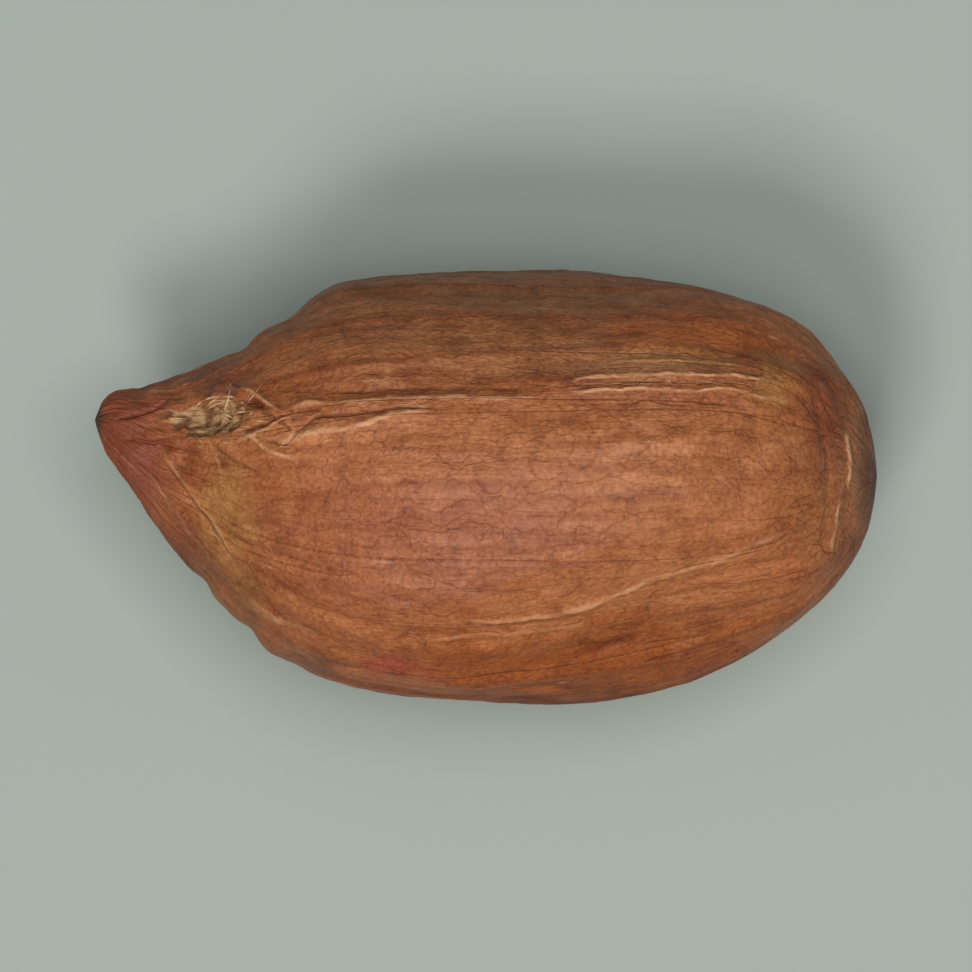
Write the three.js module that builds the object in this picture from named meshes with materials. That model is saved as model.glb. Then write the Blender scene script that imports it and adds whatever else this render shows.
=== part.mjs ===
// A shelled peanut kernel in its papery skin, lying on a small flat spot. It grew as one piece, so it is
// one solid: a barrel with a blunt end, and a beak that holds the hilum, the scar where it hung in the pod.
//
// Millimetres, +Z up. X runs from the beak (-X) to the blunt end (+X), and Z is 0 at the flat spot.
import * as THREE from 'three';

// Driving dimensions
const LENGTH = 15.8;
const WIDTH = 8.8;
const HEIGHT = 8.1;

// The skin is a sphere of this many meridians and parallels, drawn out to the kernel's shape.
const MERIDIANS = 88;
const PARALLELS = 58;

// Four rails run from the beak's tip to the middle of the blunt end. The back (+Y) and the belly (-Y) are
// the outline from above, as shares of the length and of half the width. The crown (+Z) and the sole (-Z)
// are the outline from the side, as shares of the length and of the height.
const BACK = [
  [0, 0.3],
  [0.008, 0.37],
  [0.035, 0.425],
  [0.085, 0.468],
  [0.198, 0.673],
  [0.313, 0.911],
  [0.468, 0.98],
  [0.639, 0.98],
  [0.793, 0.905],
  [0.91, 0.7],
  [0.972, 0.42],
  [0.994, 0.22],
  [1, 0.045],
];
const BELLY = [
  [0, 0.3],
  [0.008, 0.225],
  [0.03, 0.09],
  [0.09, -0.232],
  [0.182, -0.62],
  [0.26, -0.843],
  [0.383, -0.961],
  [0.577, -1],
  [0.755, -0.9],
  [0.886, -0.664],
  [0.966, -0.38],
  [0.992, -0.15],
  [1, 0.045],
];
const CROWN = [
  [0, 0.54],
  [0.008, 0.585],
  [0.04, 0.63],
  [0.09, 0.65],
  [0.145, 0.715],
  [0.22, 0.825],
  [0.32, 0.92],
  [0.46, 0.985],
  [0.61, 1],
  [0.77, 0.955],
  [0.89, 0.845],
  [0.958, 0.69],
  [0.99, 0.57],
  [1, 0.48],
];
const SOLE = [
  [0, 0.54],
  [0.008, 0.49],
  [0.032, 0.41],
  [0.085, 0.275],
  [0.165, 0.13],
  [0.25, 0.035],
  [0.37, -0.02],
  [0.55, -0.04],
  [0.73, -0.012],
  [0.87, 0.11],
  [0.952, 0.27],
  [0.99, 0.39],
  [1, 0.48],
];

// Cross sections are a little squarer than ellipses: under 1 fills out their corners.
const SQUARENESS = 0.93;

// Flats where the pod wall and the next kernel pressed the skin: the way each faces, and how far its plane
// lies from the middle of the kernel.
const MIDDLE = new THREE.Vector3(0.6, 0, 4);
const FLATS = [
  { facing: new THREE.Vector3(0, 0.86, 0.51), reach: 3.94 },
  { facing: new THREE.Vector3(0, 0.5, 0.87), reach: 3.86 },
  { facing: new THREE.Vector3(0, -0.16, 0.99), reach: 3.88 },
  { facing: new THREE.Vector3(0.2, -0.72, 0.66), reach: 3.82 },
  { facing: new THREE.Vector3(0, -0.86, -0.51), reach: 3.98 },
  { facing: new THREE.Vector3(0, 0.72, -0.7), reach: 3.95 },
  { facing: new THREE.Vector3(0.96, 0.04, 0.27), reach: 7.12 },
];
const PRESSED = 0.8; // share of what stood past a plane that is pushed back
const FLAT_EDGE = 0.12; // how softly a flat meets the skin round it

// The raphe: a raised vein with a groove beside it, from the hilum along the crown to the blunt end.
// Its path is shares of the length and of half the width.
const RAPHE = [
  [0.1, 0.375],
  [0.2, 0.355],
  [0.35, 0.352],
  [0.5, 0.395],
  [0.66, 0.465],
  [0.82, 0.505],
  [0.93, 0.47],
  [1, 0.36],
];
const RAPHE_RIDGE = 0.11;
const RAPHE_GROOVE = 0.07;
const RAPHE_REACH = 0.3;

// The hilum: an oval hollow with a raised lip, next to the beak's tip.
const HILUM = { along: 0.142, across: 0.305, length: 1.3, breadth: 0.62, depth: 0.17, lip: 0.07 };

// The seam where the two halves meet shows through the skin as a shallow groove on the underside.
const SEAM_ANGLE = THREE.MathUtils.degToRad(238);
const SEAM_DEPTH = 0.09;
const SEAM_WIDTH = 0.09;

// Lengthwise wrinkles of the dried skin: folds round the kernel, height, phase, and how far they wander.
const WRINKLES = [
  { folds: 7, height: 0.024, phase: 0.8, wander: 0.9 },
  { folds: 11, height: 0.03, phase: 2.1, wander: 1.6 },
  { folds: 17, height: 0.026, phase: 4.4, wander: 2.3 },
  { folds: 22, height: 0.02, phase: 1.2, wander: 3.1 },
];
// Shallow dents and swellings that run across the wrinkles.
const DENTS = [
  { waves: 2.2, folds: 3, height: 0.05, phase: 0.4 },
  { waves: 3.7, folds: 5, height: 0.03, phase: 2.6 },
];
const PUCKERS = { folds: 13, height: 0.035, reach: 0.2 };

const halfWidth = WIDTH / 2;
const tipX = -LENGTH / 2;

function rail(points, toPoint) {
  return new THREE.CatmullRomCurve3(points.map(([along, share]) => toPoint(tipX + along * LENGTH, share)));
}

const back = rail(BACK, (x, share) => new THREE.Vector3(x, share * halfWidth, 0));
const belly = rail(BELLY, (x, share) => new THREE.Vector3(x, share * halfWidth, 0));
const crown = rail(CROWN, (x, share) => new THREE.Vector3(x, 0, share * HEIGHT));
const sole = rail(SOLE, (x, share) => new THREE.Vector3(x, 0, share * HEIGHT));
const raphe = new THREE.SplineCurve(
  RAPHE.map(([along, share]) => new THREE.Vector2(tipX + along * LENGTH, share * halfWidth)),
);
const raphePath = raphe.getSpacedPoints(60);

// A cosine or sine, drawn towards the corners of its square.
function squared(value) {
  return Math.sign(value) * Math.abs(value) ** SQUARENESS;
}

// The smooth barrel: the point at a share of the way along the rails and an angle round from +Y to +Z.
function barrel(share, angle) {
  const onBack = back.getPointAt(share);
  const onBelly = belly.getPointAt(share);
  const onCrown = crown.getPointAt(share);
  const onSole = sole.getPointAt(share);
  const sideways = Math.cos(angle);
  const upwards = Math.sin(angle);
  const flank = sideways > 0 ? onBack : onBelly;
  const face = upwards > 0 ? onCrown : onSole;
  const centre = new THREE.Vector3(0, (onBack.y + onBelly.y) / 2, (onCrown.z + onSole.z) / 2);
  return {
    centre,
    point: new THREE.Vector3(
      flank.x * sideways ** 2 + face.x * upwards ** 2,
      centre.y + squared(sideways) * Math.abs(flank.y - centre.y),
      centre.z + squared(upwards) * Math.abs(face.z - centre.z),
    ),
  };
}

// Pushes a point back towards each flat's plane, softly at the flat's edge.
function pressFlats(point) {
  for (const { facing, reach } of FLATS) {
    const way = facing.clone().normalize();
    const past = point.clone().sub(MIDDLE).dot(way) - reach;
    const pushed = (past + Math.hypot(past, FLAT_EDGE)) / 2;
    point.addScaledVector(way, -PRESSED * pushed);
  }
}

// A bump of height 1 at 0 that dies away within a few times its width.
function bump(distance, width) {
  return Math.exp(-((distance / width) ** 2));
}

// Height of the raphe's ridge and groove: only on the upper side, and fading in past the hilum.
function rapheHeight(point) {
  const away = (at) => Math.abs(at.x - point.x);
  const nearest = raphePath.reduce((best, at) => (away(at) < away(best) ? at : best));
  const off = point.y - nearest.y;
  const ridge = RAPHE_RIDGE * bump(off, RAPHE_REACH);
  const groove = RAPHE_GROOVE * bump(off - 1.7 * RAPHE_REACH, RAPHE_REACH);
  return (ridge - groove) * THREE.MathUtils.smoothstep(point.x, tipX + 1.6, tipX + 3.4);
}

function hilumHeight(point) {
  const dx = (point.x - (tipX + HILUM.along * LENGTH)) / (HILUM.length / 2);
  const dy = (point.y - HILUM.across * halfWidth) / (HILUM.breadth / 2);
  const outward = Math.hypot(dx, dy);
  return HILUM.lip * bump(outward - 1.15, 0.45) - HILUM.depth * bump(outward, 0.75);
}

function seamHeight(angle) {
  return -SEAM_DEPTH * bump(angle - SEAM_ANGLE, SEAM_WIDTH);
}

// Wrinkles, dents and the puckers round the beak, in millimetres above the barrel.
function wrinkleHeight(share, angle) {
  const middle = Math.sin(Math.PI * share) ** 0.6;
  let height = 0;
  for (const { folds, height: tall, phase, wander } of WRINKLES) {
    const patchy = 0.5 + 0.5 * Math.sin(2 * angle + 5 * share + phase * folds);
    height += tall * patchy * Math.cos(folds * angle + phase + wander * Math.sin(2.4 * share + phase));
  }
  for (const { waves, folds, height: tall, phase } of DENTS) {
    height += tall * Math.cos(2 * Math.PI * waves * share + phase) * Math.cos(folds * angle - phase);
  }
  const nearBeak = bump(share - 0.13, PUCKERS.reach / 2);
  return middle * height + nearBeak * PUCKERS.height * Math.cos(PUCKERS.folds * angle);
}

function skinPoint(share, angle) {
  const { centre, point } = barrel(share, angle);
  pressFlats(point);
  const outward = new THREE.Vector3(0, point.y - centre.y, point.z - centre.z);
  const radius = outward.length();
  if (radius > 0) {
    let height = wrinkleHeight(share, angle) + seamHeight(angle);
    if (Math.sin(angle) > 0) {
      height += rapheHeight(point) + hilumHeight(point);
    }
    // The relief fades out towards the thin tip and the middle of the blunt end.
    height *= THREE.MathUtils.smoothstep(radius, 0.3, 2.6);
    point.addScaledVector(outward.divideScalar(radius), height);
  }
  point.z = Math.max(point.z, 0); // the small flat spot it rests on
  return point;
}

function kernelGeometry() {
  const geometry = new THREE.SphereGeometry(1, MERIDIANS, PARALLELS);
  const position = geometry.getAttribute('position');
  const uv = geometry.getAttribute('uv');
  for (let i = 0; i < position.count; i += 1) {
    // More parallels lie near the beak, where the shape is finest.
    const share = (1 - uv.getY(i)) ** 1.12;
    const angle = 2 * Math.PI * ((1 - uv.getX(i)) % 1);
    const { x, y, z } = skinPoint(share, angle);
    position.setXYZ(i, x, y, z);
  }
  geometry.computeBoundingBox();
  const middle = geometry.boundingBox.getCenter(new THREE.Vector3());
  geometry.translate(-middle.x, -middle.y, 0);
  geometry.computeVertexNormals();
  return geometry;
}

function kernel() {
  const skin = new THREE.MeshStandardMaterial({ color: 0xa5664a, roughness: 0.55, metalness: 0 });
  const mesh = new THREE.Mesh(kernelGeometry(), skin);
  mesh.name = 'kernel';
  return mesh;
}

const peanut = new THREE.Group();
peanut.name = 'peanut';
peanut.add(kernel());

export default peanut;
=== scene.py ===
import math
import random

import bpy
import numpy as np
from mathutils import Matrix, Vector, noise


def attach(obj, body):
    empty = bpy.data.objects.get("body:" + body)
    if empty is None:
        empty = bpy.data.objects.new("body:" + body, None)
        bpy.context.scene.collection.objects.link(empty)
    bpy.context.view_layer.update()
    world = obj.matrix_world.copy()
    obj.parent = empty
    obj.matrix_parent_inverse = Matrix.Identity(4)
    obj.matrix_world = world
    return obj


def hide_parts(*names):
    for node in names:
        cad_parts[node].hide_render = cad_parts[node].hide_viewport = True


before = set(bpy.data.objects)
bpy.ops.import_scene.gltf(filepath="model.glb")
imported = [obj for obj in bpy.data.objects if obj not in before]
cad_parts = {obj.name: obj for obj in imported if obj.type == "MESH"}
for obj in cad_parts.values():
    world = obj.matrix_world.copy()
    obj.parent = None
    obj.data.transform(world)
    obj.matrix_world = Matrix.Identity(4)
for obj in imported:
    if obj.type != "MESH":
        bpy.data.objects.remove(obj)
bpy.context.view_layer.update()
mm = 0.001


# Small helpers
def selectOnly(*chosen):
    bpy.ops.object.select_all(action="DESELECT")
    for item in chosen:
        item.select_set(True)
    bpy.context.view_layer.objects.active = chosen[0]


def applyModifier(item, kind, **settings):
    selectOnly(item)
    modifier = item.modifiers.new(kind.lower(), kind)
    for name, value in settings.items():
        setattr(modifier, name, value)
    bpy.ops.object.modifier_apply(modifier=modifier.name)


def fadeIn(value, low, high):  # 0 below low, 1 above high, smooth between
    share = np.clip((value - low) / (high - low), 0, 1)
    return share * share * (3 - 2 * share)


def hump(distance, width):  # 1 at 0, gone within a few widths
    return np.exp(-((distance / width) ** 2))


def lumps(places, octaves):  # soft random field, about -1 to 1, the same on every run
    return np.array([noise.fractal(Vector(p), 0.8, 2.1, octaves) for p in places])


def readVertices(mesh, what):
    values = np.zeros(len(mesh.vertices) * 3, np.float32)
    mesh.vertices.foreach_get(what, values)
    return values.reshape(-1, 3).astype(float)


# Where things are on the kernel
kernelLayout = {
    "axis": [(-7.9, 1.32, 4.37), (-7.4, 1.1, 4.15), (-6.5, 0.52, 3.75), (-4.9, 0.06, 3.6), (-3.2, 0, 3.75),
             (-0.8, 0, 3.93), (1.6, -0.04, 3.97), (4.3, 0.07, 3.97), (6.3, 0.18, 3.98), (7.9, 0.2, 3.89)],
    "halfLength": 7.7,
    "halfGirth": 4.2,
    "middle": 0.4,  # X of the fattest part
    "hilum": (-5.65, 1.34),
    "endFlat": {"through": (0.6, 0, 4), "facing": (0.961, 0.04, 0.27), "reach": 7.12},
}


def flowOf(points):  # share of the way from beak to blunt end, turn round the axis, distance from it
    axis = np.array(kernelLayout["axis"])
    dy = points[:, 1] - np.interp(points[:, 0], axis[:, 0], axis[:, 1])
    dz = points[:, 2] - np.interp(points[:, 0], axis[:, 0], axis[:, 2])
    girth = np.hypot(dy, dz)
    lengthwise = (points[:, 0] - kernelLayout["middle"]) / kernelLayout["halfLength"]
    along = 1 - np.arctan2(girth / kernelLayout["halfGirth"], lengthwise) / math.pi
    return along, np.arctan2(dz, dy), girth


def offLine(points, path):  # signed distance from a path of (x, y) points, share of the way along it
    nearest, side, share = np.full(len(points), 1e9), np.zeros(len(points)), np.zeros(len(points))
    flat = points[:, :2]
    done, whole = 0.0, sum(math.dist(a, b) for a, b in zip(path[:-1], path[1:]))
    for start, end in zip(path[:-1], path[1:]):
        start, way = np.array(start), np.array(end) - np.array(start)
        length = math.hypot(*way)
        part = np.clip((flat - start) @ way / length**2, 0, 1)
        off = flat - start - part[:, None] * way
        distance = np.linalg.norm(off, axis=1)
        closer = distance < nearest
        nearest[closer] = distance[closer]
        side[closer] = np.sign(way[0] * off[closer, 1] - way[1] * off[closer, 0])
        share[closer] = (done + part[closer] * length) / whole
        done += length
    return side * nearest, share


# Skin relief: heights and widths in millimetres, around and along say how often a pattern repeats
flowLength = 6.3  # makes a pattern on the flow about as long as it is wide
foldLook = {"around": 2.4, "along": 1.1, "octaves": 1, "shift": 0.0, "height": 0.03}
furrowLook = {"around": 8.5, "along": 1.7, "octaves": 2, "shift": 3.7, "height": 0.03}
creaseLook = {"around": 19.0, "along": 4.0, "octaves": 3, "shift": 9.1, "height": 0.014}
blisterLook = {"size": 1.3, "height": 0.03}
veinLook = {
    "seed": 11, "count": 23, "height": 0.032, "width": 0.075, "spacing": 0.35, "waves": (1.1, 2.4),
    "wander": 0.06, "lean": 0.3, "begin": (0.12, 0.3), "end": (0.8, 0.95), "strength": (0.55, 1),
    "fork": 0.3, "forkAt": (0.3, 0.7),
}
hilumLook = {
    "length": 0.72, "breadth": 0.32, "ragged": 0.45, "step": 0.06, "grain": 0.05, "puckers": 11,
    "puckerHeight": 0.035,
}
beakLook = {"around": 6.5, "along": 1.6, "octaves": 3, "shift": 1.3, "height": 0.075, "lump": 0.05}
rimLook = {"height": 0.03, "width": 0.12, "inside": 0.2}
inset = 0.03  # the skin starts this far inside the solid, so that its relief stays in the part's box

# Pinches in the flanks by the beak, where the drying skin sank (or, below 0, stayed proud): middle,
# reach, depth
skinPinches = [
    ((-5.75, -1.9, 3.6), (0.24, 0.4, 1.5), 0.09),
    ((-4.8, -2.9, 3.6), (0.22, 0.4, 1.5), 0.08),
    ((-4.4, -3.3, 3.7), (0.26, 0.4, 1.5), -0.05),
    ((-3.85, -3.6, 3.7), (0.24, 0.4, 1.5), 0.06),
    ((-4.95, 2.8, 4.1), (0.24, 0.4, 1.5), 0.08),
    ((-4.45, 3.15, 4.1), (0.26, 0.4, 1.5), -0.06),
    ((-3.9, 3.5, 4.1), (0.26, 0.4, 1.5), 0.06),
    ((-2.95, 3.95, 4.2), (0.55, 0.45, 1.5), -0.1),
]

# Lines that can be made out on the upper side: path, half width, height, how strongly each is painted
# pale lines: partly pale strands of the skin, partly painted highlights where ridges catch the light
paleAndHighlightLines = [
    ([(-4.6, 1.25), (-4.1, 1.5), (-3.55, 1.67), (-2.3, 1.74), (-0.4, 1.78), (1.2, 1.84)], 0.06, 0.055, 0.6),
    ([(-4.5, 0.72), (-3.9, 0.98), (-3.5, 1.1), (-2.74, 1.19), (-1.94, 1.36), (-0.9, 1.6)],
     0.085, 0.09, 1.1),
    ([(1.3, 2.1), (2.2, 2.2), (3.6, 2.26), (5.4, 2.18), (6.1, 2.0)], 0.05, 0.055, 1.1),
    ([(1.4, 1.9), (3.0, 1.95), (4.9, 1.92), (6.0, 1.74)], 0.05, 0.05, 1.1),
    ([(2.2, 2.5), (4.4, 2.52), (5.4, 2.42)], 0.04, 0.03, 0.7),
    ([(2.6, 2.06), (3.6, 2.1), (4.6, 2.06)], 0.03, 0.02, 0.6),
    ([(-1.0, -2.76), (0.4, -2.7), (1.4, -2.58), (2.6, -2.2), (4.6, -1.5), (6.4, -0.7)], 0.055, 0.05, 0.6),
    ([(-1.4, -3.05), (0.5, -3.0), (2.2, -2.74)], 0.05, 0.03, 0.4),
    # painted highlights on the fold at the blunt end
    ([(7.2, 1.2), (7.3, 0.6), (7.28, 0.0)], 0.05, 0.045, 1.2),
    ([(7.14, -0.2), (7.06, -0.7), (6.9, -1.3)], 0.04, 0.03, 0.8),
    ([(-4.85, -2.25), (-4.3, -2.62), (-3.3, -3.02)], 0.07, 0.05, 0.6),
    ([(-5.1, 1.25), (-4.6, 0.95), (-4.1, 0.62), (-3.8, 0.5)], 0.055, 0.06, 0.8),
    ([(-5.2, 0.8), (-4.6, 1.08), (-4.1, 1.36), (-3.6, 1.5)], 0.05, 0.055, 0.8),
    ([(-5.3, 1.95), (-4.7, 1.84), (-4.1, 1.58)], 0.05, 0.05, 0.7),
    ([(-5.6, 0.95), (-5.4, 0.5), (-5.32, 0.0)], 0.045, 0.04, 0.5),
    ([(-6.6, 0.75), (-6.0, 0.0), (-5.5, -0.75), (-5.0, -1.6)], 0.06, 0.05, 0.5),
    ([(-6.9, 0.3), (-6.4, -0.35), (-5.9, -1.1)], 0.05, 0.05, 0.4),
]
# dark lines: sunk grooves, partly dark skin and partly painted shade in the grooves
darkAndShadeLines = [
    ([(-5.0, 1.25), (-4.5, 1.0), (-4.05, 0.85), (-3.7, 1.18), (-3.3, 1.42), (-2.4, 1.5), (-0.6, 1.6)],
     0.055, -0.08, 1.0),
    ([(-5.25, 1.0), (-4.6, 1.24), (-3.9, 1.5), (-3.0, 1.58)], 0.05, -0.07, 0.9),
    ([(-5.0, 1.85), (-4.45, 1.6), (-4.05, 1.25), (-3.72, 0.98)], 0.06, -0.07, 0.9),
    ([(-4.2, 1.9), (-2.8, 1.96), (-0.6, 1.98), (1.4, 2.06)], 0.07, -0.05, 0.6),
    ([(1.6, 2.06), (3.4, 2.1), (5.4, 2.05)], 0.045, -0.045, 0.7),
    ([(1.2, 1.7), (3.4, 1.66), (5.6, 1.6)], 0.05, -0.03, 0.45),
    ([(-5.7, 0.85), (-5.1, 0.5), (-4.5, 0.3)], 0.05, -0.05, 0.6),
    ([(-1.3, -2.06), (0.0, -2.1), (0.95, -2.04)], 0.045, -0.03, 0.55),
    ([(6.3, 2.5), (6.6, 1.6), (6.86, 0.6), (6.88, -0.4), (6.7, -1.3)], 0.08, -0.03, 0.4),
    ([(-5.0, 1.7), (-4.6, 1.62), (-4.2, 1.6)], 0.07, -0.04, 0.8),
    ([(-6.5, 0.5), (-5.95, -0.2), (-5.4, -1.0), (-4.9, -1.8)], 0.05, -0.06, 0.6),
    ([(-7.1, 0.65), (-6.7, 0.1), (-6.2, -0.7), (-5.6, -1.4)], 0.05, -0.06, 0.7),
    ([(-7.5, 1.3), (-6.9, 1.5), (-6.3, 1.8)], 0.05, -0.06, 0.8),
    ([(-7.3, 0.95), (-6.7, 0.85), (-6.2, 0.95)], 0.05, -0.05, 0.6),
]


def veinField(along, turn, girth):
    look = veinLook
    rng = random.Random(look["seed"])
    field = np.zeros(len(along))
    for k in range(look["count"]):
        start = 2 * math.pi * (k + rng.uniform(-look["spacing"], look["spacing"])) / look["count"]
        waves, phase = rng.uniform(*look["waves"]), rng.uniform(0, 6.3)
        lean = rng.uniform(-look["lean"], look["lean"])
        path = start + look["wander"] * np.sin(2 * math.pi * waves * along + phase) + lean * (along - 0.5)
        begin, end = rng.uniform(*look["begin"]), rng.uniform(*look["end"])
        strength = rng.uniform(*look["strength"])
        fork, side = rng.uniform(*look["forkAt"]), rng.choice((-1, 1))
        away = np.clip(along - fork, 0, 1) ** 0.8 * look["fork"] * side * rng.uniform(0.7, 1.4)
        for branch, share in ((path, 1), (path + away, 0.75 * fadeIn(along, fork, fork + 0.06))):
            off = (turn - branch + math.pi) % (2 * math.pi) - math.pi
            fade = fadeIn(along, begin, begin + 0.12) * (1 - fadeIn(along, end - 0.1, end))
            field = np.maximum(field, strength * share * fade * hump(off * girth, look["width"]))
    return field


def drawLines(points, lines, upper):  # height, strength of the paint, and signed distance for its edge
    height, paint, side = np.zeros(len(points)), np.zeros(len(points)), np.full(len(points), 0.3)
    broken = 0.4 + 0.6 * fadeIn(lumps(points * 2.3 + 4, 2), -0.3, 0.15)
    for path, width, tall, strength in lines:
        off, share = offLine(points, path)
        taper = fadeIn(share, -0.01, 0.22) * (1 - fadeIn(share, 0.8, 1.01))
        height += tall * taper * broken * upper * hump(off, width)
        here = strength * taper * broken * upper * hump(off, 0.2)
        stronger = here > paint
        paint[stronger] = here[stronger]
        side[stronger] = off[stronger] * 0.06 / width  # narrow lines are painted narrow
    return height, paint, np.clip(side, -0.3, 0.3)


def shapeHilum(points, upper):  # torn oval scar, distance from its middle, folds drawn in round it
    look = hilumLook
    hx = points[:, 0] - kernelLayout["hilum"][0]
    hy = points[:, 1] - kernelLayout["hilum"][1]
    ragged = look["ragged"] * lumps(points * (2.6, 4.6, 4.6) + 2, 2)
    outward = np.hypot(hx / look["length"], hy / look["breadth"]) + ragged
    scar = upper * (1 - fadeIn(outward, 0.8, 1.1))
    bearing = np.arctan2(hy * 1.6, hx)
    reach = fadeIn(outward, 1.0, 1.7) * (1 - fadeIn(outward, 2.2, 4.2)) * upper
    puckers = reach * np.cos(look["puckers"] * bearing + 5 * lumps(points * 0.7 + 5, 1))
    return scar, outward, puckers


def shapeRim(points, girth):  # where the skin folds over into the flattened blunt end
    look, flat = rimLook, kernelLayout["endFlat"]
    past = (points - np.array(flat["through"])) @ np.array(flat["facing"]) - flat["reach"]
    return hump(past + look["inside"], look["width"]) * fadeIn(girth, 0.8, 1.6)


def sinkPinches(points):  # how far the skin sinks, below 0 where it stays proud
    sunk = np.zeros(len(points))
    for middle, reach, depth in skinPinches:
        sunk += depth * hump(np.linalg.norm((points - middle) / reach, axis=1), 1)
    return sunk


def waver(points):  # moved a little, so that no line runs quite straight
    wavy = points.copy()
    wavy[:, 1] += 0.09 * lumps(points * 0.8 + 1, 2)
    wavy[:, 0] += 0.06 * lumps(points * 1.1 + 3, 2)
    return wavy


def sculptSkin(skin):
    mesh = skin.data
    points = readVertices(mesh, "co") / mm
    normals = readVertices(mesh, "normal")
    along, turn, girth = flowOf(points)
    upper = fadeIn(points[:, 2], 3.6, 4.6)
    body = fadeIn(girth, 0.35, 1.7)  # 0 at the thin beak and the middle of the blunt end
    # the flow runs to the beak's tip, but only half way in to a point at the blunt end
    spread = 1 - 0.6 * fadeIn(along, 0.55, 0.95) * (1 - girth / kernelLayout["halfGirth"])
    around = np.column_stack([np.cos(turn), np.sin(turn)]) * spread[:, None]

    def flowNoise(look):
        lengthwise = along * flowLength * look["along"]
        places = np.column_stack([around * look["around"] + look["shift"], lengthwise])
        return lumps(places, look["octaves"])

    patchy = fadeIn(lumps(points / 2.6 + 7, 2), -0.25, 0.35)
    uneven = 0.35 + 0.65 * patchy
    folds = 1 - 2.2 * np.abs(flowNoise(foldLook))
    furrows = 1 - 2.4 * np.abs(flowNoise(furrowLook))
    creases = flowNoise(creaseLook)
    striae = flowNoise(beakLook)
    blisters = lumps(points / blisterLook["size"], 2)
    veins = veinField(along, turn, girth)
    scar, outward, puckers = shapeHilum(points, upper)
    scarGrain = lumps(points * (3.2, 7.5, 7.5), 2)
    rim = shapeRim(points, girth)
    wavy = waver(points)
    paleHeight, paleAndHighlightPaint, paleSide = drawLines(wavy, paleAndHighlightLines, upper)
    darkHeight, darkAndShadePaint, darkSide = drawLines(wavy, darkAndShadeLines, upper)

    beakFolds = (1 - 0.7 * body) * fadeIn(girth, 0.1, 0.6) * fadeIn(-points[:, 0], 4.5, 6.0)
    calm = body * (1 - 0.8 * scar) * (1 - 0.5 * np.maximum(paleAndHighlightPaint, darkAndShadePaint))
    height = calm * (
        foldLook["height"] * patchy * folds
        + furrowLook["height"] * uneven * furrows
        + creaseLook["height"] * creases
        + blisterLook["height"] * blisters
        + veinLook["height"] * veins
    )
    height += paleHeight + darkHeight
    height += beakFolds * (beakLook["height"] * striae + beakLook["lump"] * blisters)
    height += hilumLook["puckerHeight"] * puckers
    height += scar * (hilumLook["grain"] * scarGrain - hilumLook["step"])
    height += rimLook["height"] * rim - sinkPinches(points) - inset * body
    moved = points + normals * height[:, None]
    moved[:, 2] = np.maximum(moved[:, 2], 0)  # the flat spot it rests on
    mesh.vertices.foreach_set("co", (moved * mm).astype(np.float32).ravel())
    mesh.update()

    # relief: high on the crests and low in the furrows; the material paints shade into the low parts and
    # lightens the high ones, partly as painted highlight
    fine = calm * (0.6 * furrows * uneven + 0.4 * creases)
    fine += 0.4 * puckers + beakFolds * striae
    redBeak = 1 - fadeIn(points[:, 0] + 0.5 * lumps(points * 1.3, 2), -7.0, -5.7)
    flow = mesh.attributes.new("flow", "FLOAT_VECTOR", "POINT")
    flow.data.foreach_set("vector", np.column_stack([around, along]).astype(np.float32).ravel())
    masks = {  # what the skin's material paints by
        "relief": 0.5 + 0.5 * np.clip(fine, -1, 1),
        "veins": veins * calm,
        # painted highlight along the rim
        "rim": rim * upper,
        "scarEdge": np.clip(outward, 0, 4) + 4 * (1 - upper),
        "beak": redBeak * fadeIn(points[:, 0], -7.9, -7.5),
        "paleAndHighlightPaint": paleAndHighlightPaint,
        "paleSide": paleSide,
        "darkAndShadePaint": darkAndShadePaint,
        "darkSide": darkSide,
    }
    for name, values in masks.items():
        layer = mesh.attributes.new(name, "FLOAT", "POINT")
        layer.data.foreach_set("value", values.astype(np.float32))


def makeSkin():
    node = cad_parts["kernel"]
    bpy.ops.object.select_all(action="DESELECT")
    skin = bpy.data.objects.new("kernelSkin", node.data.copy())
    skin.data.name = "kernelSkin"
    skin.data.materials.clear()
    bpy.context.collection.objects.link(skin)
    selectOnly(skin)
    bpy.ops.object.mode_set(mode="EDIT")
    bpy.ops.mesh.select_all(action="SELECT")
    bpy.ops.mesh.remove_doubles(threshold=0.002 * mm)
    bpy.ops.mesh.tris_convert_to_quads(face_threshold=math.pi, shape_threshold=math.pi)
    bpy.ops.mesh.normals_make_consistent(inside=False)
    bpy.ops.object.mode_set(mode="OBJECT")
    print("skin base faces", len(skin.data.polygons))
    applyModifier(skin, "SUBSURF", levels=2, render_levels=2)
    sculptSkin(skin)
    bpy.ops.object.shade_smooth()
    print("skin faces", len(skin.data.polygons))
    return skin


# Node helpers
def addNode(tree, kind, column, row, **settings):
    made = tree.nodes.new(kind)
    made.location = (column * 200, -row * 180)
    for name, value in settings.items():
        setattr(made, name, value)
    return made


def wire(tree, source, target):
    tree.links.new(source, target)


def mathNode(tree, operation, column, row, *values, clamp=False):
    made = addNode(tree, "ShaderNodeMath", column, row, operation=operation, use_clamp=clamp)
    for socket, value in zip(made.inputs, values):
        if isinstance(value, bpy.types.NodeSocket):
            wire(tree, value, socket)
        else:
            socket.default_value = value
    return made.outputs[0]


def rangeNode(tree, column, row, value, fromLow, fromHigh, toLow=0.0, toHigh=1.0):
    made = addNode(tree, "ShaderNodeMapRange", column, row, interpolation_type="SMOOTHSTEP")
    wire(tree, value, made.inputs["Value"])
    for socket, amount in zip(made.inputs[1:5], (fromLow, fromHigh, toLow, toHigh)):
        if isinstance(amount, bpy.types.NodeSocket):
            wire(tree, amount, socket)
        else:
            socket.default_value = amount
    return made.outputs["Result"]


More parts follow.
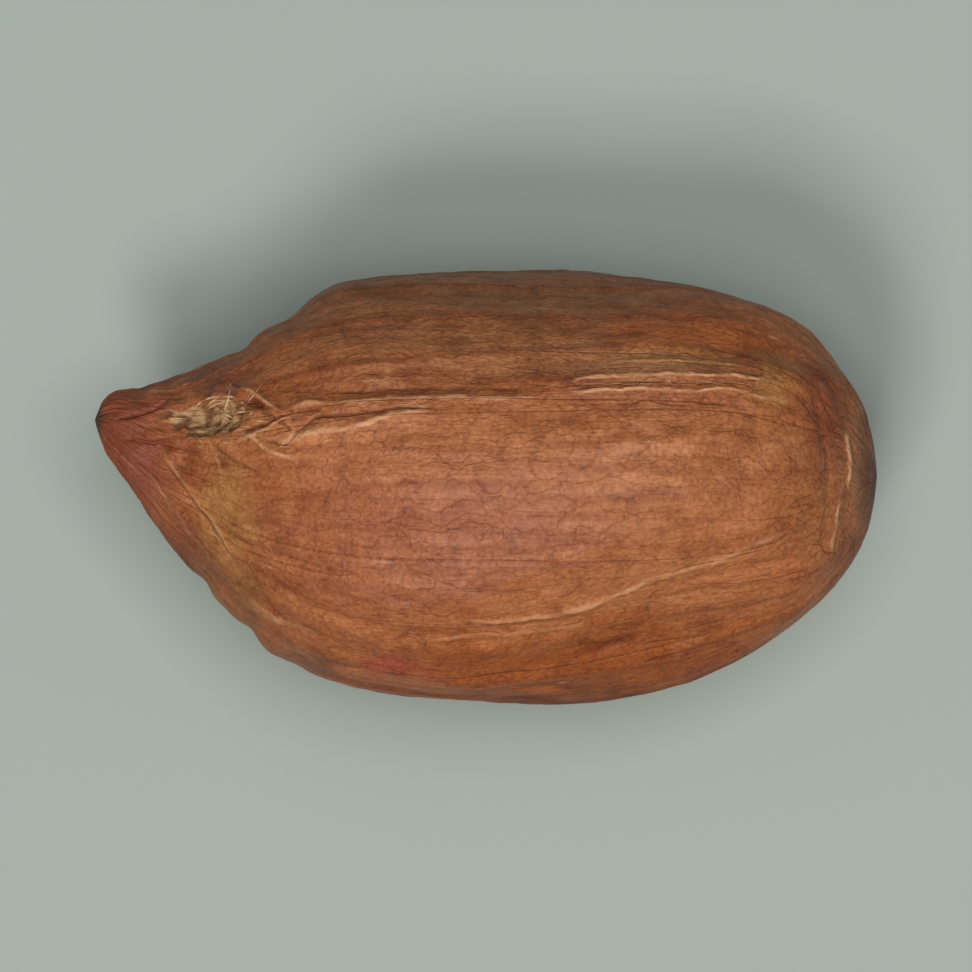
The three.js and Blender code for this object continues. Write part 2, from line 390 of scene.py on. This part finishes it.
def mixColour(tree, column, row, mask, under, over, blend="MIX"):
    made = addNode(tree, "ShaderNodeMix", column, row, data_type="RGBA", blend_type=blend)
    for socket, value in ((made.inputs[0], mask), (made.inputs[6], under), (made.inputs[7], over)):
        if isinstance(value, bpy.types.NodeSocket):
            wire(tree, value, socket)
        else:
            socket.default_value = value if isinstance(value, float) else (*value, 1)
    return made.outputs[2]


def noiseNode(tree, column, row, place, scale, **settings):
    made = addNode(tree, "ShaderNodeTexNoise", column, row)
    made.inputs["Scale"].default_value = scale
    for name, value in settings.items():
        made.inputs[name].default_value = value
    wire(tree, place, made.inputs["Vector"])
    return made.outputs


def newGroup(name, vectors, numbers, output):  # input vectors, input numbers with their values, output
    group = bpy.data.node_groups.new(name, "ShaderNodeTree")
    for label in vectors:
        group.interface.new_socket(label, in_out="INPUT", socket_type="NodeSocketVector")
    for label, value in numbers.items():
        socket = group.interface.new_socket(label, in_out="INPUT", socket_type="NodeSocketFloat")
        socket.default_value = value
    group.interface.new_socket(output, in_out="OUTPUT", socket_type="NodeSocketFloat")
    entry = addNode(group, "NodeGroupInput", 0, 0)
    leave = addNode(group, "NodeGroupOutput", 8, 0)
    return group, entry.outputs, leave.inputs[output]


def placeGroup(tree, group, column, row, **values):
    made = addNode(tree, "ShaderNodeGroup", column, row, node_tree=group)
    for label, value in values.items():
        socket = made.inputs[label]
        if isinstance(value, bpy.types.NodeSocket):
            wire(tree, value, socket)
        else:
            socket.default_value = value
    return made


# Shared effects
def stretchFlow(tree, given):  # the skin's flow, scaled so that a pattern on it is drawn out lengthwise
    stretch = addNode(tree, "ShaderNodeCombineXYZ", 1, 1)
    for number, label in enumerate(("Around", "Around", "Along")):
        wire(tree, given[label], stretch.inputs[number])
    place = addNode(tree, "ShaderNodeVectorMath", 2, 0, operation="MULTIPLY")
    wire(tree, given["Flow"], place.inputs[0])
    wire(tree, stretch.outputs[0], place.inputs[1])
    return place.outputs[0]


def makeLengthwiseGrain():  # streaks that follow the skin from the beak to the blunt end
    numbers = {"Around": 8.0, "Along": 3.0, "Detail": 4.0, "Low": 0.35, "High": 0.65}
    tree, given, out = newGroup("lengthwiseGrain", ["Flow"], numbers, "Grain")
    cloud = addNode(tree, "ShaderNodeTexNoise", 3, 0)
    cloud.inputs["Scale"].default_value = 1
    cloud.inputs["Roughness"].default_value = 0.6
    wire(tree, stretchFlow(tree, given), cloud.inputs["Vector"])
    wire(tree, given["Detail"], cloud.inputs["Detail"])
    wire(tree, rangeNode(tree, 5, 0, cloud.outputs[0], given["Low"], given["High"]), out)
    return tree


def makeHairlines():  # long thin lines that wander with the skin's flow
    numbers = {"Around": 8.0, "Along": 2.0, "Width": 0.03}
    tree, given, out = newGroup("hairlines", ["Flow"], numbers, "Mask")
    place = stretchFlow(tree, given)
    cloud = noiseNode(tree, 3, 0, place, 1, Detail=1)[0]
    gaps = noiseNode(tree, 3, 2, place, 0.7, Detail=0)[0]
    off = mathNode(tree, "ABSOLUTE", 5, 0, mathNode(tree, "SUBTRACT", 4, 0, cloud, 0.5))
    line = rangeNode(tree, 6, 0, off, given["Width"], 0.0)
    shown = rangeNode(tree, 6, 2, gaps, 0.4, 0.6)
    wire(tree, mathNode(tree, "MULTIPLY", 7, 0, line, shown), out)
    return tree


def makeCrepe():  # fine papery creases, drawn out lengthwise
    numbers = {"Around": 30.0, "Along": 46.0, "Edge": 0.12}
    tree, given, out = newGroup("crepe", ["Flow"], numbers, "Creases")
    cloud = noiseNode(tree, 3, 0, stretchFlow(tree, given), 1, Detail=1)[0]
    off = mathNode(tree, "ABSOLUTE", 5, 0, mathNode(tree, "SUBTRACT", 4, 0, cloud, 0.5))
    wire(tree, rangeNode(tree, 6, 0, off, 0.0, given["Edge"]), out)
    return tree


netWarp = {"perMetre": 1500, "reach": 1.6}  # how the net's veins are made crooked


def makeVeinNet():  # a net of crooked veins, drawn out lengthwise
    numbers = {"Around": 9.0, "Along": 15.0, "Edge": 0.06}
    tree, given, out = newGroup("veinNet", ["Flow", "Place"], numbers, "Gaps")
    warp = noiseNode(tree, 2, 2, given["Place"], netWarp["perMetre"])["Color"]
    bent = addNode(tree, "ShaderNodeVectorMath", 3, 0, operation="MULTIPLY_ADD")
    wire(tree, warp, bent.inputs[0])
    bent.inputs[1].default_value = (netWarp["reach"],) * 3
    wire(tree, stretchFlow(tree, given), bent.inputs[2])
    cells = addNode(tree, "ShaderNodeTexVoronoi", 4, 0, feature="DISTANCE_TO_EDGE")
    cells.inputs["Scale"].default_value = 1
    wire(tree, bent.outputs[0], cells.inputs["Vector"])
    wire(tree, rangeNode(tree, 6, 0, cells.outputs["Distance"], 0.0, given["Edge"]), out)
    return tree


def makeSoftPatch():  # a blotch, or a patch of painted shade, with a ragged edge round a point
    numbers = {"Wobble": 0.0, "Strength": 1.0}
    tree, given, out = newGroup("softPatch", ["Place", "Centre", "Reach"], numbers, "Mask")
    off = addNode(tree, "ShaderNodeVectorMath", 1, 0, operation="SUBTRACT")
    wire(tree, given["Place"], off.inputs[0])
    wire(tree, given["Centre"], off.inputs[1])
    share = addNode(tree, "ShaderNodeVectorMath", 2, 0, operation="DIVIDE")
    wire(tree, off.outputs[0], share.inputs[0])
    wire(tree, given["Reach"], share.inputs[1])
    distance = addNode(tree, "ShaderNodeVectorMath", 3, 0, operation="LENGTH")
    wire(tree, share.outputs[0], distance.inputs[0])
    edge = mathNode(tree, "ADD", 5, 0, distance.outputs["Value"], given["Wobble"])
    mask = rangeNode(tree, 6, 0, edge, 1.15, 0.35)
    wire(tree, mathNode(tree, "MULTIPLY", 7, 0, mask, given["Strength"]), out)
    return tree


def makeFlecks():  # sparse small flecks, stretched along the skin's flow
    numbers = {"Around": 20.0, "Along": 20.0, "Size": 0.3, "Share": 0.3}
    tree, given, out = newGroup("flecks", ["Flow"], numbers, "Mask")
    cells = addNode(tree, "ShaderNodeTexVoronoi", 3, 0)
    cells.inputs["Scale"].default_value = 1
    wire(tree, stretchFlow(tree, given), cells.inputs["Vector"])
    parts = addNode(tree, "ShaderNodeSeparateColor", 4, 1)
    wire(tree, cells.outputs["Color"], parts.inputs[0])
    chosen = mathNode(tree, "LESS_THAN", 5, 1, parts.outputs[0], given["Share"])
    grown = mathNode(tree, "MULTIPLY", 5, 2, parts.outputs[1], given["Size"])
    spot = rangeNode(tree, 6, 0, cells.outputs["Distance"], grown, 0.0)
    wire(tree, mathNode(tree, "MULTIPLY", 7, 0, spot, chosen), out)
    return tree


lengthwiseGrain = makeLengthwiseGrain()
hairlines = makeHairlines()
crepe = makeCrepe()
veinNet = makeVeinNet()
softPatch = makeSoftPatch()
flecks = makeFlecks()


# Skin material
skinPaint = {
    "light": (0.42, 0.145, 0.048),
    "dark": (0.31, 0.092, 0.028),
    # the first of these darkens the skin's grain and is painted shade in the furrows and fine creases; the
    # second pales the grain and is painted highlight, with some rubbed skin, on the crests
    "grainAndFurrowShade": (0.48, 0.36, 0.30),  # this and the next four multiply what lies under them
    "paleGrainAndHighlight": (1.3, 1.46, 1.6),
    "mottleDark": (0.74, 0.66, 0.62),
    "mottlePale": (1.2, 1.3, 1.4),
    "vein": (0.58, 0.40, 0.38),
    # pale: pale strands, and painted highlights on the lines and the rim
    "pale": (0.60, 0.31, 0.15),
    # line: the dark lines, partly dark skin and partly painted shade
    "line": (0.13, 0.035, 0.016),
    "beak": (0.20, 0.045, 0.022),
    "scar": (0.40, 0.235, 0.108),
    "scarDark": (0.15, 0.06, 0.025),
    "fleck": (0.66, 0.40, 0.25),
    "freckle": (0.15, 0.035, 0.018),
}
skinGloss = {"specular": 0.25, "shiny": 0.42, "dull": 0.58, "scarDuller": 0.25}
# patterns that follow the skin's flow: how often they repeat around and along it, and their own settings
skinPattern = {
    "broad": {"Around": 2.4, "Along": 3.2, "Detail": 2.0, "Low": 0.3, "High": 0.7},
    "streaks": {"Around": 15.0, "Along": 4.5, "Detail": 2.0, "Low": 0.32, "High": 0.68},
    "threads": {"Around": 42.0, "Along": 8.0, "Detail": 2.0, "Low": 0.3, "High": 0.7},
    "flecks": {"Around": 26.0, "Along": 22.0, "Size": 0.34, "Share": 0.1},
    "freckles": {"Around": 15.0, "Along": 34.0, "Size": 0.3, "Share": 0.13},
    "hairs": {"Around": 6.0, "Along": 1.5, "Width": 0.014},
    "fineHairs": {"Around": 15.0, "Along": 4.0, "Width": 0.022},
    "creases": {"Around": 30.0, "Along": 46.0, "Edge": 0.12},
    "net": {"Around": 9.0, "Along": 15.0, "Edge": 0.06},
}
# clouds that lie anywhere on the skin: how often they repeat in a metre
skinCloud = {
    "frayed": 4000, "grain": 11000, "mottle": 1700, "ragged": 900, "scarFibres": (1800, 5600, 5600),
}
lineWidth = {"pale": 0.065, "dark": 0.055}  # half widths in millimetres of the painted lines
# how strongly each pattern shows in the colour; furrows and creases here are painted shade, crests partly
# painted highlight, rim painted highlight, and the pale and dark lines partly painted highlight and shade
skinAmount = {
    "streaks": 0.2, "threads": 0.14, "furrows": 0.5, "crestRubAndHighlight": 0.45, "mottleDark": 0.85, "mottlePale": 0.8,
    "veins": 0.5, "net": 0.27, "hairs": 0.42, "fineHairs": 0.25, "flecks": 0.4, "freckles": 0.5,
    "creases": 0.14, "grainPale": 0.5, "grainDark": 0.4, "rim": 0.2, "beak": 0.85, "darkAndShadeLines": 0.75,
    "paleAndHighlightLines": 0.85,
}
# how strongly each pattern shows in the bump
skinBump = {
    "strength": 0.85, "distance": 0.035, "specks": 0.4, "hairs": -0.55, "creases": 0.2, "net": -0.3,
    "grain": 0.8, "paleAndHighlightLines": 0.8, "darkAndShadeLines": -1.2,
}
# blotches and painted shade: middle and reach in millimetres, colour, strength
skinPatchesAndShade = [
    ((-1.4, -0.9, 7.6), (4.4, 1.7, 3.5), (0.35, 0.109, 0.047), 0.65),  # pinkish middle
    # painted shade, dimming the key light's highlight in the middle
    ((0.6, -0.5, 7.8), (1.6, 1.0, 2.4), (0.30, 0.088, 0.036), 0.45),
    ((4.0, 0.3, 7.4), (3.4, 1.7, 3.5), (0.42, 0.15, 0.056), 0.6),  # paler towards the blunt end
    ((-2.3, 0.65, 7.1), (3.1, 0.95, 3.0), (0.47, 0.172, 0.07), 0.5),  # warm below the raphe
    ((2.6, 2.5, 6.6), (2.6, 0.6, 2.6), (0.40, 0.165, 0.066), 0.6),
    ((2.0, -1.7, 7.0), (2.2, 0.7, 2.6), (0.42, 0.155, 0.062), 0.4),
    ((1.6, -3.8, 4.6), (6.4, 1.8, 3.8), (0.28, 0.066, 0.010), 0.9),  # orange lower flank, darkened by painted shade towards its edge
    # painted shade along the lower edge
    ((2.6, -4.7, 4.0), (6.0, 0.8, 3.0), (0.15, 0.042, 0.010), 0.7),
    ((-0.5, 2.7, 6.8), (4.6, 0.8, 2.6), (0.34, 0.138, 0.050), 0.55),
    ((0.0, 4.3, 5.0), (7.0, 1.5, 3.6), (0.23, 0.090, 0.032), 0.75),  # brown upper flank, darkened mostly by painted shade where it turns away from the light
    ((4.6, 3.0, 6.0), (2.4, 0.7, 2.4), (0.38, 0.105, 0.024), 0.7),  # orange by the raphe's end
    ((-5.2, -0.6, 5.2), (0.75, 1.3, 2.6), (0.40, 0.185, 0.048), 0.6),  # ochre shoulder
    ((-4.6, -1.9, 4.6), (0.65, 1.0, 2.2), (0.22, 0.086, 0.022), 0.75),
    ((3.8, 2.55, 6.4), (1.2, 0.4, 1.6), (0.38, 0.19, 0.055), 0.5),
    ((5.7, 2.0, 6.0), (0.6, 0.8, 2.0), (0.36, 0.17, 0.045), 0.5),
    ((6.7, 1.4, 5.6), (0.5, 1.8, 2.0), (0.24, 0.06, 0.025), 0.6),  # red band at the blunt end
    # painted shade over the blunt end, which turns away from the light
    ((8.2, -0.4, 4.0), (1.15, 3.9, 4.2), (0.16, 0.052, 0.018), 0.75),
    ((8.25, 0.7, 3.9), (0.75, 3.2, 3.4), (0.095, 0.034, 0.016), 0.75),  # darkest at the very end, painted shade of its edge
    ((-6.6, -1.5, 3.6), (1.5, 0.9, 3.0), (0.15, 0.055, 0.026), 0.6),  # underside of the beak, darkened by painted shade
    # painted shade in the pinches along the lower edge
    ((-5.9, -1.75, 4.0), (0.9, 0.6, 2.4), (0.15, 0.058, 0.026), 0.55),
    ((-3.8, -3.65, 4.2), (1.5, 0.6, 2.2), (0.16, 0.058, 0.022), 0.55),
    ((-7.95, 1.4, 4.3), (0.45, 0.5, 0.9), (0.06, 0.02, 0.012), 0.85),  # darkest at the beak's point
    ((-5.6, 2.3, 5.5), (1.1, 0.5, 1.6), (0.20, 0.055, 0.030), 0.6),  # red shadow above the hilum
    ((-1.9, -3.55, 5.6), (0.75, 0.35, 1.2), (0.34, 0.065, 0.035), 0.8),
    ((-1.1, -3.75, 5.2), (0.5, 0.3, 1.2), (0.32, 0.06, 0.03), 0.7),
    ((3.4, -1.0, 1.0), (3.0, 2.2, 1.4), (0.34, 0.11, 0.045), 0.6),  # underside
    ((-3.6, 0.4, 0.8), (2.2, 1.8, 1.4), (0.40, 0.155, 0.05), 0.5),
]


def makeSkinMaterial():
    paint, much, gloss, cloud = skinPaint, skinAmount, skinGloss, skinCloud
    material = bpy.data.materials.new("paperySkin")
    material.use_nodes = True
    tree = material.node_tree
    tree.nodes.clear()

    def mask(name, row):
        made = addNode(tree, "ShaderNodeAttribute", 0, row, attribute_name=name)
        return made.outputs["Fac"]

    flow = addNode(tree, "ShaderNodeAttribute", 0, 0, attribute_name="flow").outputs["Vector"]
    place = addNode(tree, "ShaderNodeTexCoord", 0, 1).outputs["Object"]
    relief, veins, rim, beak = mask("relief", 2), mask("veins", 3), mask("rim", 4), mask("beak", 6)

    frayed = noiseNode(tree, 1, 11, place, cloud["frayed"], Detail=2)[0]
    frayed = mathNode(tree, "SUBTRACT", 2, 11, frayed, 0.5)

    def crispLine(side, strength, row, width):  # the line's own edge is drawn here, finer than the mesh
        torn = mathNode(tree, "MULTIPLY_ADD", 2, row, frayed, width * 1.6, side)
        line = rangeNode(tree, 4, row, mathNode(tree, "ABSOLUTE", 3, row, torn), width, width * 0.25)
        return mathNode(tree, "MULTIPLY", 5, row, line, strength, clamp=True)

    paleAndHighlightMarks = crispLine(mask("paleSide", 8), mask("paleAndHighlightPaint", 7), 12, lineWidth["pale"])
    darkAndShadeMarks = crispLine(mask("darkSide", 10), mask("darkAndShadePaint", 9), 13, lineWidth["dark"])
    tornEdge = mathNode(tree, "MULTIPLY_ADD", 3, 14, frayed, 0.9, mask("scarEdge", 5))
    scar = rangeNode(tree, 4, 14, tornEdge, 1.08, 0.9)

    def flowing(group, row, name, **more):
        return placeGroup(tree, group, 2, row, Flow=flow, **skinPattern[name], **more).outputs[0]

    broad = flowing(lengthwiseGrain, 0, "broad")
    streaks = flowing(lengthwiseGrain, 1, "streaks")
    threads = flowing(lengthwiseGrain, 2, "threads")
    flecksPale = flowing(flecks, 3, "flecks")
    freckles = flowing(flecks, 4, "freckles")
    hairs = flowing(hairlines, 5, "hairs")
    fineHairs = flowing(hairlines, 6, "fineHairs")
    creases = flowing(crepe, 8, "creases")
    net = flowing(veinNet, 9, "net", Place=place)
    grain = noiseNode(tree, 2, 7, place, cloud["grain"], Detail=2)[0]
    mottle = noiseNode(tree, 2, 10, place, cloud["mottle"], Detail=4, Roughness=0.62, Distortion=0.6)[0]
    ragged = noiseNode(tree, 2, 12, place, cloud["ragged"], Detail=4, Roughness=0.6)[0]
    wobble = mathNode(tree, "MULTIPLY_ADD", 3, 12, ragged, 1.7, -0.85)

    colour = mixColour(tree, 4, 0, broad, paint["dark"], paint["light"])
    # blotches of the skin's own tone, and painted shade
    for row, (centre, reach, tone, strength) in enumerate(skinPatchesAndShade):
        patch = placeGroup(
            tree, softPatch, 4 + row, 9,
            Place=place,
            Centre=[c * mm for c in centre],
            Reach=[r * mm for r in reach],
            Wobble=wobble,
            Strength=strength,
        )
        colour = mixColour(tree, 5 + row, 1, patch.outputs[0], colour, tone)
    column = 6 + len(skinPatchesAndShade)

    def times(row, value, amount):
        return mathNode(tree, "MULTIPLY", column, row, value, amount)

    def between(row, value, low, high, amount):  # 0 at low, the whole amount at high
        return rangeNode(tree, column, row, value, low, high, 0.0, amount)

    layers = [
        (times(3, streaks, much["streaks"]), "grainAndFurrowShade", "MULTIPLY"),
        (times(4, threads, much["threads"]), "grainAndFurrowShade", "MULTIPLY"),
        # painted shade in the relief's furrows, and crests lightened partly as rubbed skin and partly as
        # painted highlight
        (between(5, relief, 0.5, 0.12, much["furrows"]), "grainAndFurrowShade", "MULTIPLY"),
        (between(6, relief, 0.62, 0.95, much["crestRubAndHighlight"]), "paleGrainAndHighlight", "MULTIPLY"),
        (between(18, mottle, 0.5, 0.68, much["mottleDark"]), "mottleDark", "MULTIPLY"),
        (between(19, mottle, 0.5, 0.32, much["mottlePale"]), "mottlePale", "MULTIPLY"),
        (times(7, veins, much["veins"]), "vein", "MULTIPLY"),
        (between(20, net, 1.0, 0.0, much["net"]), "vein", "MULTIPLY"),
        (times(8, hairs, much["hairs"]), "vein", "MULTIPLY"),
        (times(9, fineHairs, much["fineHairs"]), "vein", "MULTIPLY"),
        (times(10, flecksPale, much["flecks"]), "fleck", "MIX"),
        (times(11, freckles, much["freckles"]), "freckle", "MIX"),
        # painted shade in the fine creases
        (between(16, creases, 0.8, 0.0, much["creases"]), "grainAndFurrowShade", "MULTIPLY"),
        (between(17, grain, 0.5, 0.7, much["grainPale"]), "paleGrainAndHighlight", "MULTIPLY"),
        (between(21, grain, 0.48, 0.3, much["grainDark"]), "grainAndFurrowShade", "MULTIPLY"),
        # painted highlight along the fold at the blunt end
        (times(12, rim, much["rim"]), "pale", "MIX"),
        (times(13, beak, much["beak"]), "beak", "MIX"),
        # dark lines, partly dark skin and partly painted shade in their grooves
        (times(14, darkAndShadeMarks, much["darkAndShadeLines"]), "line", "MIX"),
        # pale lines, partly pale strands and partly painted highlights
        (times(15, paleAndHighlightMarks, much["paleAndHighlightLines"]), "pale", "MIX"),
    ]
    for number, (amount, tone, blend) in enumerate(layers):
        colour = mixColour(tree, column + 1 + number, 1, amount, colour, paint[tone], blend)
    column += len(layers) + 1

    drawnOut = addNode(tree, "ShaderNodeVectorMath", column - 1, 4, operation="MULTIPLY")
    drawnOut.inputs[1].default_value = cloud["scarFibres"]  # they lie lengthwise
    wire(tree, place, drawnOut.inputs[0])
    specks = noiseNode(tree, column, 4, drawnOut.outputs[0], 1, Detail=2)[0]
    speckled = rangeNode(tree, column, 3, specks, 0.42, 0.6)
    scarTone = mixColour(tree, column + 1, 3, speckled, paint["scarDark"], paint["scar"])
    colour = mixColour(tree, column + 2, 1, scar, colour, scarTone)

    parts = {
        "specks": specks, "hairs": hairs, "creases": creases, "net": net, "grain": grain,
        "paleAndHighlightLines": paleAndHighlightMarks, "darkAndShadeLines": darkAndShadeMarks,
    }
    bumps = 0.0
    for row, (name, source) in enumerate(parts.items()):
        bumps = mathNode(tree, "MULTIPLY_ADD", column + row / 4, 7 + row, source, skinBump[name], bumps)
    bump = addNode(tree, "ShaderNodeBump", column + 3, 6)
    bump.inputs["Strength"].default_value = skinBump["strength"]
    bump.inputs["Distance"].default_value = skinBump["distance"] * mm
    wire(tree, bumps, bump.inputs["Height"])

    dull = rangeNode(tree, column + 1, 5, streaks, 0.0, 1.0, gloss["shiny"], gloss["dull"])
    dryScar = mathNode(tree, "MULTIPLY", column + 1, 4, scar, gloss["scarDuller"])
    dull = mathNode(tree, "ADD", column + 2, 5, dull, dryScar, clamp=True)
    shader = addNode(tree, "ShaderNodeBsdfPrincipled", column + 4, 1)
    shader.inputs["Specular IOR Level"].default_value = gloss["specular"]
    wire(tree, colour, shader.inputs["Base Color"])
    wire(tree, dull, shader.inputs["Roughness"])
    wire(tree, bump.outputs[0], shader.inputs["Normal"])
    output = addNode(tree, "ShaderNodeOutputMaterial", column + 5, 1)
    wire(tree, shader.outputs[0], output.inputs["Surface"])
    return material


# Dried threads left in the hilum, where the kernel hung in its pod
fibreLook = {
    "seed": 8, "count": 20, "radius": 0.019, "length": (0.35, 0.95), "weight": (0.6, 1.2), "bend": 1.2,
    "tilt": 0.5, "shift": 0.05, "spread": (0.55, 0.17), "arch": 1.6, "sunk": 0.9, "steps": 10, "sides": 8,
}
fibrePaint = {
    "pale": (0.54, 0.36, 0.19), "brown": (0.25, 0.11, 0.045), "specular": 0.2, "roughness": 0.75,
    "cloud": 3500, "bump": 0.02,
}


def fibreGirth(share):  # thick in the middle, thin at both ends
    return 0.25 + 0.75 * math.sin(math.pi * share)


def makeFibre():  # one straight thread of length 1 along X, with its radius in millimetres
    look = fibreLook
    bpy.ops.object.select_all(action="DESELECT")
    bpy.ops.mesh.primitive_circle_add(
        vertices=look["sides"],
        radius=look["radius"] * fibreGirth(0),
        fill_type="NGON",
        rotation=(0, math.pi / 2, 0),
    )
    bpy.ops.object.transform_apply(location=False, rotation=True, scale=False)
    fibre = bpy.context.active_object
    bpy.ops.object.mode_set(mode="EDIT")
    bpy.ops.mesh.select_all(action="SELECT")
    for step in range(look["steps"]):
        bpy.ops.mesh.extrude_region_move(TRANSFORM_OT_translate={"value": (1 / look["steps"], 0, 0)})
        growth = fibreGirth((step + 1) / look["steps"]) / fibreGirth(step / look["steps"])
        bpy.ops.transform.resize(value=(1, growth, growth))
    bpy.ops.mesh.select_all(action="SELECT")
    bpy.ops.mesh.normals_make_consistent(inside=False)
    bpy.ops.object.mode_set(mode="OBJECT")
    bpy.ops.object.shade_smooth()
    return fibre


def makeFibreMaterial():
    paint = fibrePaint
    material = bpy.data.materials.new("driedFibre")
    material.use_nodes = True
    tree = material.node_tree
    shader = tree.nodes["Principled BSDF"]
    shader.inputs["Specular IOR Level"].default_value = paint["specular"]
    shader.inputs["Roughness"].default_value = paint["roughness"]
    place = addNode(tree, "ShaderNodeTexCoord", -6, 0).outputs["Object"]
    cloud = noiseNode(tree, -5, 0, place, paint["cloud"], Detail=4)[0]
    worn = rangeNode(tree, -4, 0, cloud, 0.4, 0.6)
    wire(tree, mixColour(tree, -3, 0, worn, paint["brown"], paint["pale"]), shader.inputs["Base Color"])
    bump = addNode(tree, "ShaderNodeBump", -3, 2)
    bump.inputs["Distance"].default_value = paint["bump"] * mm
    wire(tree, cloud, bump.inputs["Height"])
    wire(tree, bump.outputs[0], shader.inputs["Normal"])
    return material


def layFibre(fibre, skin, rng):  # bends a copy into an arc that lies on the skin by the hilum
    look = fibreLook
    x = kernelLayout["hilum"][0] + rng.gauss(look["shift"], look["spread"][0])
    y = kernelLayout["hilum"][1] + rng.gauss(0, look["spread"][1])
    length, heading = rng.uniform(*look["length"]), rng.gauss(0, look["tilt"])
    bend, weight = rng.uniform(-look["bend"], look["bend"]), rng.uniform(*look["weight"])
    rings = []
    for step in range(look["steps"] + 1):
        share = step / look["steps"]
        angle = heading + bend * (share - 0.5)
        x += math.cos(angle) * length / look["steps"]
        y += math.sin(angle) * length / look["steps"]
        spot = skin.ray_cast(Vector((x * mm, y * mm, 0.02)), Vector((0, 0, -1)))[1]
        arch = look["arch"] * math.sin(math.pi * share) - look["sunk"]  # both ends are sunk in
        lift = look["radius"] * weight * arch
        rings.append((Vector((x, y, spot.z / mm + lift)), Vector((-math.sin(angle), math.cos(angle), 0))))
    for vertex in fibre.data.vertices:
        middle, sideways = rings[round(vertex.co.x * look["steps"])]
        raised = Vector((0, 0, vertex.co.z * weight))
        vertex.co = (middle + sideways * vertex.co.y * weight + raised) * mm


def makeFibres(skin):
    rng = random.Random(fibreLook["seed"])
    pattern = makeFibre()
    copies = []
    for number in range(fibreLook["count"]):
        fibre = bpy.data.objects.new(f"fibre{number}", pattern.data.copy())
        bpy.context.collection.objects.link(fibre)
        layFibre(fibre, skin, rng)
        copies.append(fibre)
    selectOnly(pattern)
    bpy.ops.object.delete()
    selectOnly(*copies)
    bpy.ops.object.join()
    fibres = bpy.context.active_object
    fibres.name = fibres.data.name = "hilumFibres"
    fibres.data.materials.append(makeFibreMaterial())
    print("fibre faces", len(fibres.data.polygons))
    return fibres


# Camera, light and floor
studio = {
    "cameraHeight": 0.30,
    "pictureWidth": 0.0196,  # metres across the picture at the kernel's middle
    "aimHeight": 0.004,  # of the kernel's middle
    "sensor": 36.0,
    "keyLight": {
        "place": (-0.07, -0.2, 0.34), "size": (0.12, 0.1), "power": 0.84, "tone": (1.0, 0.985, 0.96),
    },
    "overLight": {
        "place": (0.03, 0.02, 0.42), "size": (0.24, 0.24), "power": 1.07, "tone": (0.97, 0.985, 1.0),
    },
    "worldTone": (0.86, 0.9, 0.88),
    "worldStrength": 0.2,
    "floorTone": (0.318, 0.364, 0.327),
    "floorPaler": 1.03,
    "floorCloud": 40,  # per metre
    "floorRoughness": 0.7,
    "floorSpecular": 0.25,
}


def makeLight(name, place, size, power, tone):
    lamp = bpy.data.lights.new(name, "AREA")
    lamp.shape = "RECTANGLE"
    lamp.size, lamp.size_y = size
    lamp.energy = power
    lamp.color = tone
    item = bpy.data.objects.new(name, lamp)
    item.location = place
    towards = Vector((0, 0, studio["aimHeight"])) - Vector(place)
    item.rotation_euler = towards.to_track_quat("-Z", "Y").to_euler()
    item.visible_camera = False
    bpy.context.collection.objects.link(item)


def makeCamera():
    look = studio
    lens = bpy.data.cameras.new("camera")
    lens.sensor_width = look["sensor"]
    lens.lens = look["sensor"] * (look["cameraHeight"] - look["aimHeight"]) / look["pictureWidth"]
    lens.clip_start, lens.clip_end = 0.01, 10
    eye = bpy.data.objects.new("camera", lens)
    eye.location = (0, 0, look["cameraHeight"])
    bpy.context.collection.objects.link(eye)
    bpy.context.scene.camera = eye


def makeRoom():
    world = bpy.data.worlds.new("softRoom")
    world.use_nodes = True
    backdrop = world.node_tree.nodes["Background"]
    backdrop.inputs["Color"].default_value = (*studio["worldTone"], 1)
    backdrop.inputs["Strength"].default_value = studio["worldStrength"]
    bpy.context.scene.world = world
    bpy.context.scene.view_settings.view_transform = "Standard"


def makeFloor():
    tone = studio["floorTone"]
    bpy.ops.object.select_all(action="DESELECT")
    bpy.ops.mesh.primitive_plane_add(size=3, location=(0, 0, 0))
    floor = bpy.context.active_object
    floor.name = "floor"
    material = bpy.data.materials.new("paleFloor")
    material.use_nodes = True
    tree = material.node_tree
    shader = tree.nodes["Principled BSDF"]
    shader.inputs["Roughness"].default_value = studio["floorRoughness"]
    shader.inputs["Specular IOR Level"].default_value = studio["floorSpecular"]
    place = addNode(tree, "ShaderNodeTexCoord", -5, 0).outputs["Object"]
    cloud = noiseNode(tree, -4, 0, place, studio["floorCloud"])[0]
    shade = rangeNode(tree, -3, 0, cloud, 0.3, 0.7)
    paler = [c * studio["floorPaler"] for c in tone]
    wire(tree, mixColour(tree, -2, 0, shade, tone, paler), shader.inputs["Base Color"])
    floor.data.materials.append(material)


makeCamera()
makeLight("keyLight", **studio["keyLight"])
makeLight("overLight", **studio["overLight"])
makeRoom()
makeFloor()
print("studio ready")

kernelSkin = makeSkin()
kernelSkin.data.materials.append(makeSkinMaterial())
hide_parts("kernel")
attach(kernelSkin, "root")
print("skin ready")

hilumFibres = makeFibres(kernelSkin)
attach(hilumFibres, "root")
print("fibres ready")
